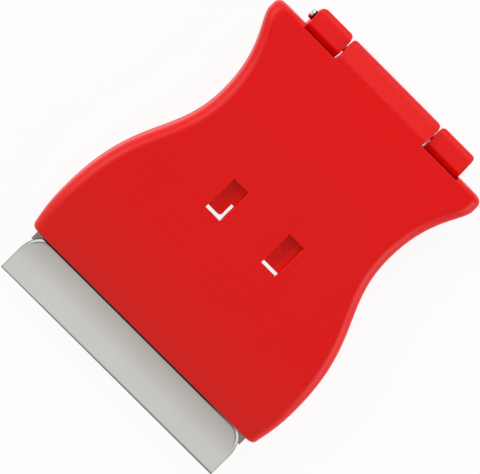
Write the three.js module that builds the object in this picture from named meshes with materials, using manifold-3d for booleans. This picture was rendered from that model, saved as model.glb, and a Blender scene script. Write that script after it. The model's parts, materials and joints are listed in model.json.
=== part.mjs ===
// Paint scraper: two hinged plastic covers that clamp a short steel blade.
// Millimetres, +Z up. The tool lies on its rear cover, with the blade's edge at -Y and the hinge at +Y.
// Values that end in At are distances from the blade's edge towards the hinge.
import * as THREE from 'three';
import { mergeVertices } from 'three/addons/utils/BufferGeometryUtils.js';
import Module from 'manifold-3d';

const wasm = await Module();
wasm.setup();

// Blade and its folded spine
const bladeWidth = 38.7;
const bladeDepth = 18.5;
const bladeThickness = 0.25;
const grindDepth = 0.6;
const grindEdge = 0.05;
const sideLength = 3.5;
const shoulderStep = 2.7;
const shoulderLength = 3.5;
const leafThickness = 0.35;
const spineFrontAt = 5.4;
const upperLeafDepth = 5;
const spineInset = 0.15;

// Outline of the covers, seen from above
const bladeReach = 6.75;
const pocketClearance = 0.2;
const cheek = 1;
const lipCornerRadius = 0.8;
const lipToBelly = 6.15;
const bellyFlare = 0.55;
const bellyEase = 2.9;
const bellyToWaist = 23.85;
const bellyHandle = 13.6;
const waistWidth = 30.6;
const waistFrontHandle = 8.95;
const waistRearHandle = 7.25;
const waistToHorn = 11.9;
const hornWidth = 37.45;
const hornHandle = 1.8;
const hornToRear = 1.75;
const hornRadius = 1;

// Covers in section
const thickness = 7.5;
const partingGap = 0.1;
const wall = 1.6;
const roof = 1.5;
const edgeRound = 1.8;
const lipRound = 0.5;
const rearRound = 0.6;
const lipDrop = 1.9;
const noseLength = 15.25;
const rearDrop = 1.2;
const tailLength = 16;
const frontLand = 4;
const seatLand = 3.2;
const ribThickness = 1;
const frontRibSpread = 0.6;
const rearRibSpread = 0.4;
const pocketWall = 1.2;

// Hinge
const pinDiameter = 1.4;
const pinProud = 0.7;
const pinSink = 0.2;
const pinFit = 0.02;
const pinRun = 0.07;
const knuckleWall = 1;
const rearToHinge = 1.5;
const middleKnuckleLength = 15.5;
const knuckleDraft = 0.3;
const knuckleGap = 0.2;
const knuckleRound = 0.7;
const knuckleKnee = 0.25;
const outerKnuckleLength = 5.6;
const hingeClearance = 0.2;

// Windows, ledges and hooks
const windowSpacing = 10.2;
const windowWidth = 2.65;
const windowLength = 5.2;
const windowSetback = 4.3;
const hookSideGap = 0.06;
const leftHookGap = 0.42;
const hookGap = 0.5;
const hookThickness = 1.9;
const hookRecess = 0.9;
const hookLead = 1.2;
const noseTipHeight = 0.4;
const ledgeDrop = 0.6;
const ledgeThickness = 1;
const ledgeClearance = 0.2;
const catchDepth = 0.5;
const catchGap = 0.05;
const frameWall = 0.8;
const slotFrontMargin = 0.8;
const slotLeftMargin = 0.1;
const slotRightMargin = 0.75;
const tongueLength = 3.2;
const hookPadHeight = 0.3;

// How far a cut runs past the face that it opens, and a joined form sinks into its neighbour
const cutOverrun = 1;
const sink = 0.05;

// How finely round forms are divided
const outlineStep = 1.25;
const leastCurveSteps = 5;
const edgeRoundSteps = 6;
const roundSides = 32;

// Sizes that follow from those above
const partingZ = thickness / 2;
const bladeHalf = bladeWidth / 2;
const spineHalf = bladeHalf - spineInset;
const pocketHalf = spineHalf + pocketClearance;
const seatZ = partingZ - bladeThickness - leafThickness;
const spineTopZ = partingZ + leafThickness;
const spineBackAt = bladeDepth + leafThickness;
const pocketBackAt = spineBackAt + pocketClearance;
const pocketWallAt = pocketBackAt + pocketWall;

const lipAt = bladeReach;
const lipHalf = pocketHalf + cheek;
const bellyAt = lipAt + lipToBelly;
const bellyHalf = lipHalf + bellyFlare;
const waistAt = bellyAt + bellyToWaist;
const waistHalf = waistWidth / 2;
const hornAt = waistAt + waistToHorn;
const hornHalf = hornWidth / 2;
const rearAt = hornAt + hornToRear;

const pinRadius = pinDiameter / 2;
const knuckleRadius = pinRadius + pinRun + knuckleWall;
const hingeAt = rearAt + rearToHinge;
const hingeNotchAt = hingeAt - knuckleRadius - hingeClearance;
const middleHalf = middleKnuckleLength / 2;
const outerInnerX = middleHalf + knuckleDraft + knuckleGap;
const outerEndX = outerInnerX + outerKnuckleLength;
const kneeAt = rearAt + knuckleKnee;
const overallLength = hingeAt + knuckleRadius;

const windowFrontAt = pocketWallAt + windowSetback;
const windowRearAt = windowFrontAt + windowLength;
const windowReach = windowWidth / 2;
const hookFrontAt = windowFrontAt + hookGap;
const hookRearAt = hookFrontAt + hookThickness;
const ledgeFrontAt = hookRearAt + ledgeClearance;
const noseTipAt = ledgeFrontAt + catchDepth;
const slotRearAt = hookFrontAt + tongueLength;
const windowDrop = Math.max(crownDrop(windowFrontAt), crownDrop(windowRearAt));
const hookSeatZ = windowDrop + roof + hookPadHeight;
const hookTopZ = thickness - windowDrop - hookRecess;
const ledgeTopZ = thickness - windowDrop - roof - ledgeDrop;
const catchZ = ledgeTopZ + catchGap;

// How far the crown of a cover lies below its highest level, at a distance from the blade's edge
function crownDrop(at) {
  const intoNose = Math.max(0, lipAt + noseLength - at) / noseLength;
  const intoTail = Math.max(0, at - (rearAt - tailLength)) / tailLength;
  return lipDrop * intoNose ** 2 + rearDrop * intoTail ** 2;
}

// Height of a cover's crown above its parting face, before its two ends are rounded
function crownHeight(at) {
  return partingZ - partingGap / 2 - crownDrop(at);
}

// How far a rounding of the given radius falls at a distance from the end that it rounds
function roundFall(radius, distance) {
  const inward = Math.max(0, radius - distance);
  return radius - Math.sqrt(radius ** 2 - inward ** 2);
}

// Half of the outline from the lip to the rear edge: x is the half width, y the distance from the edge
function halfOutline() {
  const path = new THREE.Path();
  const lipCentre = new THREE.Vector2(lipHalf - lipCornerRadius, lipAt + lipCornerRadius);
  const hornCentre = new THREE.Vector2(hornHalf - hornRadius, rearAt - hornRadius);
  path.moveTo(lipCentre.x, lipAt);
  path.absarc(lipCentre.x, lipCentre.y, lipCornerRadius, -Math.PI / 2, 0, false);
  path.quadraticCurveTo(bellyHalf, bellyAt - bellyEase, bellyHalf, bellyAt);
  path.bezierCurveTo(
    bellyHalf, bellyAt + bellyHandle,
    waistHalf, waistAt - waistFrontHandle,
    waistHalf, waistAt,
  );
  path.bezierCurveTo(
    waistHalf, waistAt + waistRearHandle,
    hornHalf, hornAt - hornHandle,
    hornHalf, hornAt,
  );
  path.lineTo(hornHalf, hornCentre.y);
  path.absarc(hornCentre.x, hornCentre.y, hornRadius, 0, Math.PI / 2, false);
  const runs = path.curves.map((curve) => {
    const steps = Math.max(leastCurveSteps, Math.ceil(curve.getLength() / outlineStep));
    return curve.getPoints(steps).slice(1);
  });
  return [new THREE.Vector2(lipCentre.x, lipAt), ...runs.flat()];
}

const outline = halfOutline();

function halfWidthAt(at) {
  const next = Math.max(1, outline.findIndex((point) => point.y >= at));
  const [a, b] = [outline[next - 1], outline[next]];
  return THREE.MathUtils.mapLinear(at, a.y, b.y, a.x, b.x);
}

function stationsBetween(startAt, endAt) {
  const inner = outline.map((point) => point.y).filter((at) => at > startAt && at < endAt);
  return [startAt, ...inner, endAt];
}

// Merges a closed geometry's shared corners and makes a solid of it
function solid(geometry) {
  geometry.deleteAttribute('normal');
  geometry.deleteAttribute('uv');
  const merged = mergeVertices(geometry);
  return new wasm.Manifold(new wasm.Mesh({
    numProp: 3,
    vertProperties: new Float32Array(merged.attributes.position.array),
    triVerts: new Uint32Array(merged.index.array),
  }));
}

function union(solids) {
  return solids.reduce((whole, piece) => whole.add(piece));
}

function box(low, high) {
  const size = new THREE.Vector3().subVectors(high, low);
  const middle = new THREE.Vector3().addVectors(low, high).multiplyScalar(0.5);
  return solid(new THREE.BoxGeometry(size.x, size.y, size.z).translate(middle.x, middle.y, middle.z));
}

function corner(x, at, z) {
  return new THREE.Vector3(x, at, z);
}

// A profile drawn in (at, z), drawn out along X
function acrossTool(shape, startX, endX) {
  const geometry = new THREE.ExtrudeGeometry(shape, {
    depth: endX - startX,
    bevelEnabled: false,
    curveSegments: roundSides,
  });
  geometry.translate(0, 0, startX);
  const axes = new THREE.Matrix4().makeBasis(corner(0, 1, 0), corner(0, 0, 1), corner(1, 0, 0));
  return solid(geometry.applyMatrix4(axes));
}

// An outline drawn in (x, at), drawn out along Z
function upright(shape, lowZ, highZ, curveSegments) {
  const depth = highZ - lowZ;
  const geometry = new THREE.ExtrudeGeometry(shape, { depth, bevelEnabled: false, curveSegments });
  return solid(geometry.translate(0, 0, lowZ));
}

// A round rod on the hinge's axis; a bore is drawn round the radius, so that its flats clear it
function hingeRod(radius, startX, endX) {
  const length = endX - startX;
  const geometry = new THREE.CylinderGeometry(radius, radius, length, roundSides);
  geometry.rotateZ(Math.PI / 2).translate((startX + endX) / 2, hingeAt, partingZ);
  return solid(geometry);
}

function hingeBore(radius, startX, endX) {
  return hingeRod(radius / Math.cos(Math.PI / roundSides), startX, endX);
}

// A solid through rings of points, one ring at each station along the tool
function loft(rings) {
  const count = rings[0].length;
  const indices = [];
  for (let i = 0; i + 1 < rings.length; i += 1) {
    for (let j = 0; j < count; j += 1) {
      const a = i * count + j;
      const b = i * count + (j + 1) % count;
      indices.push(a, a + count, b);
      indices.push(a + count, b + count, b);
    }
  }
  const last = (rings.length - 1) * count;
  const flat = rings[0].map((point) => new THREE.Vector2(point.x, point.z));
  for (const [a, b, c] of THREE.ShapeUtils.triangulateShape(flat, [])) {
    indices.push(a, b, c);
    indices.push(last + c, last + b, last + a);
  }
  const geometry = new THREE.BufferGeometry().setFromPoints(rings.flat());
  geometry.setIndex(indices);
  return solid(geometry);
}

// Places one half of a section, drawn from the parting face to the crown, on both sides of a cover.
// facing is 1 for the front cover and -1 for the rear cover.
function coverRing(half, at, facing) {
  const place = (point, side) => {
    const z = partingZ + facing * (partingGap / 2 + point.y);
    return corner(side * point.x, at, z);
  };
  const right = half.map((point) => place(point, 1));
  const left = half.map((point) => place(point, -1)).reverse();
  const ring = [...right, ...left];
  return facing > 0 ? ring : ring.reverse();
}

// The outside of a cover: the outline, crowned along its length and rounded along every outer edge
function coverBlank(facing) {
  const rings = stationsBetween(lipAt, rearAt).map((at) => {
    const lipFall = roundFall(lipRound, at - lipAt);
    const rearFall = roundFall(rearRound, rearAt - at);
    const height = crownHeight(at) - lipFall - rearFall;
    const round = Math.min(edgeRound, height - partingGap);
    const centre = new THREE.Vector2(halfWidthAt(at) - round, height - round);
    const half = [new THREE.Vector2(halfWidthAt(at), 0)];
    for (let i = 0; i <= edgeRoundSteps; i += 1) {
      const angle = (i / edgeRoundSteps) * Math.PI / 2;
      const offset = new THREE.Vector2(Math.cos(angle), Math.sin(angle)).multiplyScalar(round);
      half.push(offset.add(centre));
    }
    return coverRing(half, at, facing);
  });
  return loft(rings);
}

// The hollow of a cover, open at the parting face
function coverHollow(startAt, facing) {
  const rings = stationsBetween(startAt, rearAt - wall).map((at) => {
    const width = halfWidthAt(at) - wall;
    const half = [new THREE.Vector2(width, -cutOverrun), new THREE.Vector2(width, crownHeight(at) - roof)];
    return coverRing(half, at, facing);
  });
  return loft(rings);
}

// Section of a hinge knuckle: the crown runs on to a knee, then slopes down to a barrel round the axis
function knuckleShape(facing) {
  const rootAt = rearAt - rearRound;
  const rise = crownHeight(kneeAt) - sink;
  const run = kneeAt - hingeAt;
  const touch = Math.atan2(rise, run) - Math.acos(knuckleRadius / Math.hypot(rise, run));
  const shape = new THREE.Shape();
  shape.moveTo(rootAt, partingZ);
  shape.lineTo(rootAt, partingZ + facing * (crownHeight(rootAt) - sink));
  shape.lineTo(kneeAt, partingZ + facing * rise);
  if (facing > 0) {
    shape.absarc(hingeAt, partingZ, knuckleRadius, touch, -Math.PI, true);
  } else {
    shape.absarc(hingeAt, partingZ, knuckleRadius, -touch, Math.PI, false);
  }
  return shape;
}

// Plan of a knuckle, with its two rear corners rounded
function knucklePlan(frontStartX, frontEndX, rearStartX, rearEndX) {
  const rootAt = rearAt - wall;
  const shoulderAt = overallLength - knuckleRound;
  const plan = new THREE.Shape();
  plan.moveTo(frontStartX, rootAt);
  plan.lineTo(frontEndX, rootAt);
  plan.lineTo(rearEndX, shoulderAt);
  plan.quadraticCurveTo(rearEndX, overallLength, rearEndX - knuckleRound, overallLength);
  plan.lineTo(rearStartX + knuckleRound, overallLength);
  plan.quadraticCurveTo(rearStartX, overallLength, rearStartX, shoulderAt);
  return upright(plan, 0, thickness, edgeRoundSteps);
}

// The middle knuckle's ends are drafted, so the slits beside it narrow away from the covers
function middleKnuckle() {
  const tipHalf = middleHalf + knuckleDraft;
  const barrel = acrossTool(knuckleShape(1), -tipHalf, tipHalf);
  return barrel.intersect(knucklePlan(-middleHalf, middleHalf, -tipHalf, tipHalf));
}

function outerKnuckle(side) {
  const ends = [side * outerInnerX, side * outerEndX];
  const startX = Math.min(...ends);
  const endX = Math.max(...ends);
  return acrossTool(knuckleShape(-1), startX, endX).intersect(knucklePlan(startX, endX, startX, endX));
}

// Room for the other cover's knuckles in a cover's rear edge
function hingeNotch(startX, endX) {
  const low = corner(startX, hingeNotchAt, -cutOverrun);
  return box(low, corner(endX, overallLength, thickness + cutOverrun));
}

// The left window, hook and knuckle are at -1, the right ones at 1
const bothSides = [-1, 1];

function windowX(side) {
  return side * windowSpacing / 2;
}

// A box about a window, given how far it reaches to the left and to the right of its middle
function windowBox(side, leftReach, rightReach, low, high) {
  const x = windowX(side);
  return box(corner(x - leftReach, low.at, low.z), corner(x + rightReach, high.at, high.z));
}

// A hook fills the width of its window, apart from the left one, which leaves a gap on its right
function hookReach(side) {
  const rightGap = side < 0 ? leftHookGap : hookSideGap;
  return { left: windowReach - hookSideGap, right: windowReach - rightGap };
}

function hookBox(side, low, high) {
  const reach = hookReach(side);
  return windowBox(side, reach.left, reach.right, low, high);
}

// A ledge under the rear part of a window, hung from the roof by a frame round it
function ledgeFrame(side) {
  const reach = windowReach + frameWall;
  const low = { at: ledgeFrontAt, z: ledgeTopZ - ledgeThickness };
  const high = { at: windowRearAt + frameWall, z: thickness - windowDrop - roof / 2 };
  return windowBox(side, reach, reach, low, high);
}

function windowCut(side) {
  const low = { at: windowFrontAt, z: ledgeTopZ };
  return windowBox(side, windowReach, windowReach, low, { at: windowRearAt, z: thickness + cutOverrun });
}

// Room over the spine's upper leaf, which stands above the parting face
function spineRelief() {
  const frontAt = spineBackAt - upperLeafDepth - pocketClearance;
  const low = corner(-pocketHalf, frontAt, partingZ);
  return box(low, corner(pocketHalf, pocketBackAt, spineTopZ + partingGap));
}

function frontCover() {
  const ribs = [-1, 0, 1].map((place) => {
    const x = place * pocketHalf * frontRibSpread;
    const low = corner(x - ribThickness / 2, spineBackAt - upperLeafDepth, partingZ);
    return box(low, corner(x + ribThickness / 2, spineBackAt, thickness));
  });
  const standing = union([...ribs, ...bothSides.map(ledgeFrame)]);
  const notchEndX = outerEndX + hingeClearance;
  const cuts = union([
    coverHollow(lipAt + frontLand, 1).subtract(standing),
    spineRelief(),
    ...bothSides.map(windowCut),
    hingeNotch(middleHalf, notchEndX),
    hingeNotch(-notchEndX, -middleHalf),
  ]);
  const cover = coverBlank(1).subtract(cuts).add(middleKnuckle());
  return cover.subtract(hingeBore(pinRadius + pinRun, -outerInnerX, outerInnerX));
}

// A slot on three sides of each tongue, through the rear cover's floor, wider on the right side
function tongueSlot(side) {
  const low = { at: windowFrontAt - slotFrontMargin, z: -cutOverrun };
  const high = { at: slotRearAt, z: partingZ };
  const slot = windowBox(side, windowReach + slotLeftMargin, windowReach + slotRightMargin, low, high);
  const tongueLow = { at: hookFrontAt, z: -cutOverrun };
  return slot.subtract(hookBox(side, tongueLow, { at: slotRearAt + cutOverrun, z: partingZ }));
}

// A raised foot on the tongue, which the hook stands on
function hookPad(side) {
  return hookBox(side, { at: hookFrontAt, z: -cutOverrun }, { at: slotRearAt, z: hookSeatZ });
}

function rearCover() {
  const ribs = [-2, -1, 0, 1, 2].map((place) => {
    const x = place * pocketHalf * rearRibSpread;
    const low = corner(x - ribThickness / 2, lipAt, -cutOverrun);
    return box(low, corner(x + ribThickness / 2, pocketBackAt, partingZ));
  });
  const stopLow = corner(-pocketHalf, pocketBackAt, -cutOverrun);
  const stop = box(stopLow, corner(pocketHalf, pocketWallAt, thickness));
  const standing = union([...ribs, stop, ...bothSides.map(hookPad)]);
  const cuts = union([
    coverHollow(lipAt + seatLand, -1).subtract(standing),
    box(corner(-pocketHalf, 0, seatZ), corner(pocketHalf, pocketBackAt, thickness)),
    ...bothSides.map(tongueSlot),
    hingeNotch(-outerInnerX, outerInnerX),
  ]);
  const cover = union([coverBlank(-1).subtract(cuts), ...bothSides.map(outerKnuckle)]);
  return cover.subtract(hingeBore(pinRadius + pinFit, -overallLength, overallLength));
}

function hingePin() {
  return hingeRod(pinRadius, -(outerEndX + pinProud), outerEndX - pinSink);
}

// Straight sides at the edge, then shoulders that curve in to the neck under the covers
function bladePlan() {
  const neckHalf = bladeHalf - shoulderStep;
  const plan = new THREE.Shape();
  plan.moveTo(-bladeHalf, 0);
  plan.lineTo(bladeHalf, 0);
  plan.lineTo(bladeHalf, sideLength);
  plan.absellipse(neckHalf, sideLength, shoulderStep, shoulderLength, 0, Math.PI / 2, false, 0);
  plan.lineTo(neckHalf, bladeDepth);
  plan.lineTo(-neckHalf, bladeDepth);
  plan.absellipse(-neckHalf, sideLength, shoulderStep, shoulderLength, Math.PI / 2, Math.PI, false, 0);
  return plan;
}

function bladeProfile() {
  const middleZ = partingZ - bladeThickness / 2;
  const lowZ = partingZ - bladeThickness;
  const profile = new THREE.Shape();
  profile.moveTo(0, middleZ - grindEdge / 2);
  profile.lineTo(grindDepth, lowZ);
  profile.lineTo(bladeDepth, lowZ);
  profile.lineTo(bladeDepth, partingZ);
  profile.lineTo(grindDepth, partingZ);
  profile.lineTo(0, middleZ + grindEdge / 2);
  return profile;
}

function blade() {
  const sheet = upright(bladePlan(), 0, thickness, roundSides);
  return sheet.intersect(acrossTool(bladeProfile(), -bladeWidth, bladeWidth));
}

// A long leaf under the blade, folded over its back into a short leaf above it
function bladeSpine() {
  const upperAt = spineBackAt - upperLeafDepth;
  const profile = new THREE.Shape();
  profile.moveTo(spineFrontAt, seatZ);
  profile.lineTo(spineBackAt, seatZ);
  profile.lineTo(spineBackAt, spineTopZ);
  profile.lineTo(upperAt, spineTopZ);
  profile.lineTo(upperAt, partingZ);
  profile.lineTo(bladeDepth, partingZ);
  profile.lineTo(bladeDepth, seatZ + leafThickness);
  profile.lineTo(spineFrontAt, seatZ + leafThickness);
  return acrossTool(profile, -spineHalf, spineHalf);
}

// A beam that stands on the rear cover's tongue, with a nose over the front cover's ledge
function snapHook(side) {
  const profile = new THREE.Shape();
  profile.moveTo(hookFrontAt, hookSeatZ);
  profile.lineTo(hookRearAt, hookSeatZ);
  profile.lineTo(hookRearAt, catchZ);
  profile.lineTo(noseTipAt, catchZ);
  profile.lineTo(noseTipAt, catchZ + noseTipHeight);
  profile.lineTo(hookFrontAt + hookLead, hookTopZ);
  profile.lineTo(hookFrontAt, hookTopZ);
  const reach = hookReach(side);
  return acrossTool(profile, windowX(side) - reach.left, windowX(side) + reach.right);
}

function redPlastic() {
  return new THREE.MeshStandardMaterial({ color: 0xd81c1a, roughness: 0.38, metalness: 0 });
}

function steel() {
  return new THREE.MeshStandardMaterial({ color: 0xb4aea6, roughness: 0.35, metalness: 1 });
}

// Turns a solid back into a named mesh
function piece(name, body, material) {
  const { vertProperties, triVerts } = body.getMesh();
  const geometry = new THREE.BufferGeometry();
  geometry.setAttribute('position', new THREE.BufferAttribute(vertProperties, 3));
  geometry.setIndex(new THREE.BufferAttribute(triVerts, 1));
  geometry.computeVertexNormals();
  const mesh = new THREE.Mesh(geometry, material);
  mesh.name = name;
  return mesh;
}

const tool = new THREE.Group();
tool.position.y = -overallLength / 2;
tool.add(
  piece('front_cover', frontCover(), redPlastic()),
  piece('rear_cover', rearCover(), redPlastic()),
  piece('hinge_pin', hingePin(), steel()),
  piece('blade', blade(), steel()),
  piece('blade_spine', bladeSpine(), steel()),
  piece('snap_hook_left', snapHook(-1), redPlastic()),
  piece('snap_hook_right', snapHook(1), redPlastic()),
);

export default tool;
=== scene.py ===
"""Paint scraper: the looks of a hinged blade holder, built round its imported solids.

Metres, in the frame of the solids: the tool lies on its rear cover, with the blade's edge at -Y and the
hinge at +Y. A value that ends in _at is a distance from the blade's edge towards the hinge.
"""
import bisect
import json
import math

import bmesh
import bpy
from mathutils import Matrix, Vector
from mathutils.geometry import interpolate_bezier


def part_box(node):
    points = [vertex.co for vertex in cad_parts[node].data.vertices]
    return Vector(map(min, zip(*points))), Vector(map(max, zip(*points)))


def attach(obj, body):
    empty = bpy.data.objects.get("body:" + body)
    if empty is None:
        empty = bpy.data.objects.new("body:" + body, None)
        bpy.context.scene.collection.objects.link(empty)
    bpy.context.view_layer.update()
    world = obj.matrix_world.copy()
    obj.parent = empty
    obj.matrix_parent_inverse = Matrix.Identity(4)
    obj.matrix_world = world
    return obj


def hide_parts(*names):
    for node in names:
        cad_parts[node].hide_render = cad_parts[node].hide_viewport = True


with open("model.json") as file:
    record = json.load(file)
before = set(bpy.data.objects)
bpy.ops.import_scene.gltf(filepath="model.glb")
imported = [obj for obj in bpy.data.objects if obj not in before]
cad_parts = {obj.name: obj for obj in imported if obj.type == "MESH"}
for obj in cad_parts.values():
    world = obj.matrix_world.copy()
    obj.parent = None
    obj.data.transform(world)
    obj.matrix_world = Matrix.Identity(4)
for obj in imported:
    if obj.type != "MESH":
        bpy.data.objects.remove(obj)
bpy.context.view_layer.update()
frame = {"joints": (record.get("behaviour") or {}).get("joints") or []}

bl_info = {
    "name": "Paint Scraper",
    "version": (1, 0, 0),
    "blender": (4, 5, 0),
    "location": "View3D > Sidebar > Scraper",
    "description": "Builds a hinged paint scraper with its blade, hooks and hinge pin",
    "category": "Object",
}

MM = 0.001
IMAGE_WIDTH = 480
SENSOR_WIDTH = 36.0

BLADE_LOW, BLADE_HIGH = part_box("blade")
EDGE_Y = BLADE_LOW.y
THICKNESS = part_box("front_cover")[1].z
HINGE = Vector(frame["joints"][0]["pos_m"])
PIN_LOW, PIN_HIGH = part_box("hinge_pin")
BOTH_SIDES = (-1, 1)

# How finely round places are divided.
CORNER_STEPS = 8
ROUND_STEPS = 10
FOOT_STEPS = 3
HOLLOW_STEPS = 5
BEND_STEPS = 4
BARREL_STEPS = 40
END_STEPS = 6
FOLD_STEPS = 16
SHOULDER_STEPS = 24
HOOK_STEPS = 6
RIM_STEPS = 3
SPINE_STEPS = 2
PIN_SIDES = 48
CURVE_STEP = 0.7 * MM

# Small distances that let shapes meet or pass each other.
MERGE = 0.001 * MM
OVERRUN = 1.0 * MM
SINK = 0.05 * MM
ROOT_RISE = 0.006 * MM
# Depths that agree to this many decimal places are one.
DEPTH_DIGITS = 9

SHARP_ANGLE = math.radians(25)
RIM_ANGLE = math.radians(60)
FLAT_ANGLE = math.radians(1)

# Pull of a corner on the curve that rounds it.
HANDLE_SHARE = 2 / 3
# Height kept below the long edges' rounding, in parting rounds.
FOOT_ROUNDS = 3
# Places of the ribs, as shares of the pocket's half width.
FRONT_RIBS = (-0.6, 0, 0.6)
SEAT_RIBS = (-0.8, -0.4, 0, 0.4, 0.8)
# A point on the pin's domed end, as shares of the dome's height and of the radius.
DOME_RISE = 1 / 3
DOME_REACH = 0.45

# Grain of the surfaces: scales for each metre, detail, depth of the bump and how far a finish drifts.
MOTTLE_SCALE = 120.0
MOTTLE_DETAIL = 3.0
GRAIN_SCALE = 4000.0
GRAIN_DETAIL = 2.0
BUMP_DEPTH = 0.01 * MM
PLASTIC_BUMP = 0.12
PLASTIC_DRIFT = 0.035
STEEL_BUMP = 0.05
STEEL_DRIFT = 0.03
BLADE_BUMP = 0.02
BLADE_CLOUD = 0.12
PLASTIC_STRETCH = (1.0, 1.0, 1.0)
PIN_STRETCH = (0.05, 1.0, 1.0)
SPINE_STRETCH = (0.04, 1.0, 1.0)
BLADE_STRETCH = (1.0, 0.25, 1.0)
# Fade at the ends of the pin's painted shade band.
PIN_SHADE_FADE = 0.1 * MM

# Depth over which the painted bounce light in the windows fades in, in window rounds.
WINDOW_FADE = 3
# Where the painted highlight and painted shade lines come in on a shoulder, as shares of its width and
# of its length.
SHOULDER_START = 0.05
RIM_START = 0.25
RIM_FULL = 0.6
# The painted shadow line at the mouth fades towards the right over this many shoulders, down to this
# strength.
MOUTH_SHADOW_FADE = 3
MOUTH_SHADOW_LEAST = 0.45

# Lamps: name, place and side in metres, power in watts.
LAMPS = (
    ("key", (-0.25, 0.78, 0.52), 1.0, 4.8),
    ("left", (-0.84, 0.05, 0.38), 0.6, 4.9),
    ("top", (0.08, -0.12, 0.90), 0.55, 0.5),
    ("right", (0.82, 0.10, 0.30), 0.5, 4.4),
    ("front", (-0.10, -0.85, 0.22), 0.22, 0.6),
    ("rear", (-0.06, 0.95, 0.16), 0.5, 0.9),
)

# Floor, sky and camera.
FLOOR_HALF = 1.5
FLOOR_DROP = 0.02 * MM
FLOOR_ROUGH = 0.9
FLOOR_GLOW = 0.9
SKY_STRENGTH = 0.3
CLIP_START = 0.01


def length(name, description, millimetres):
    return bpy.props.FloatProperty(
        name=name,
        description=description,
        default=millimetres * MM,
        min=0.0,
        precision=5,
        unit="LENGTH",
    )


def share(name, description, value):
    return bpy.props.FloatProperty(
        name=name,
        description=description,
        default=value,
        min=0.0,
        max=1.0,
        subtype="FACTOR",
    )


def colour(name, description, value):
    return bpy.props.FloatVectorProperty(
        name=name,
        description=description,
        default=value,
        min=0.0,
        max=1.0,
        size=3,
        subtype="COLOR",
    )


class ScraperCovers(bpy.types.PropertyGroup):
    """Outline and section that the two covers share."""

    blade_reach: length("Blade reach", "How far the blade stands out of the mouth", 6.75)
    lip_half: length("Mouth half width", "Half of the width at the mouth", 20.4)
    lip_corner: length("Mouth corner", "Radius of the mouth's corners in plan", 0.8)
    lip_to_belly: length("Mouth to belly", "From the mouth to the widest place", 6.15)
    belly_half: length("Belly half width", "Half of the greatest width", 20.95)
    belly_ease: length("Belly ease", "How gently the belly begins", 2.9)
    belly_to_waist: length("Belly to waist", "From the widest to the narrowest place", 23.85)
    belly_handle: length("Belly handle", "Pull of the belly on the side curve", 13.6)
    waist_half: length("Waist half width", "Half of the least width", 15.3)
    waist_front: length("Waist front handle", "Pull of the waist towards the mouth", 8.95)
    waist_rear: length("Waist rear handle", "Pull of the waist towards the hinge", 7.25)
    waist_to_horn: length("Waist to horn", "From the waist to the rear corners", 11.9)
    horn_half: length("Horn half width", "Half of the width across the rear corners", 18.725)
    horn_handle: length("Horn handle", "Pull of the rear corner on the side curve", 1.8)
    horn_to_rear: length("Horn to rear edge", "From the rear corners to the rear edge", 1.75)
    horn_corner: length("Horn corner", "Radius of the rear corners in plan", 1.0)
    parting_gap: length("Parting gap", "Gap between the two covers", 0.1)
    parting_round: length("Parting round", "Rounding of the edge at the parting gap", 0.14)
    wall: length("Wall", "Thickness of the side walls", 1.6)
    roof: length("Roof", "Thickness under the crown", 1.5)
    edge_round: length("Edge round", "Rounding of the long outer edges", 1.8)
    lip_round: length("Mouth round", "Rounding of the crown at the mouth", 0.5)
    rear_round: length("Rear round", "Rounding of the crown at the rear edge", 0.6)
    lip_drop: length("Mouth drop", "How far the crown falls towards the mouth", 1.9)
    nose_length: length("Nose length", "Length of the fall towards the mouth", 15.25)
    rear_drop: length("Rear drop", "How far the crown falls towards the hinge", 1.2)
    tail_length: length("Tail length", "Length of the fall towards the hinge", 16.0)
    hollow_round: length("Hollow round", "Rounding inside the covers", 0.6)
    front_land: length("Front land", "Solid length behind the mouth of the front cover", 4.0)
    seat_land: length("Seat land", "Solid length behind the mouth of the rear cover", 3.2)
    rib: length("Rib", "Thickness of the ribs inside", 1.0)


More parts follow.
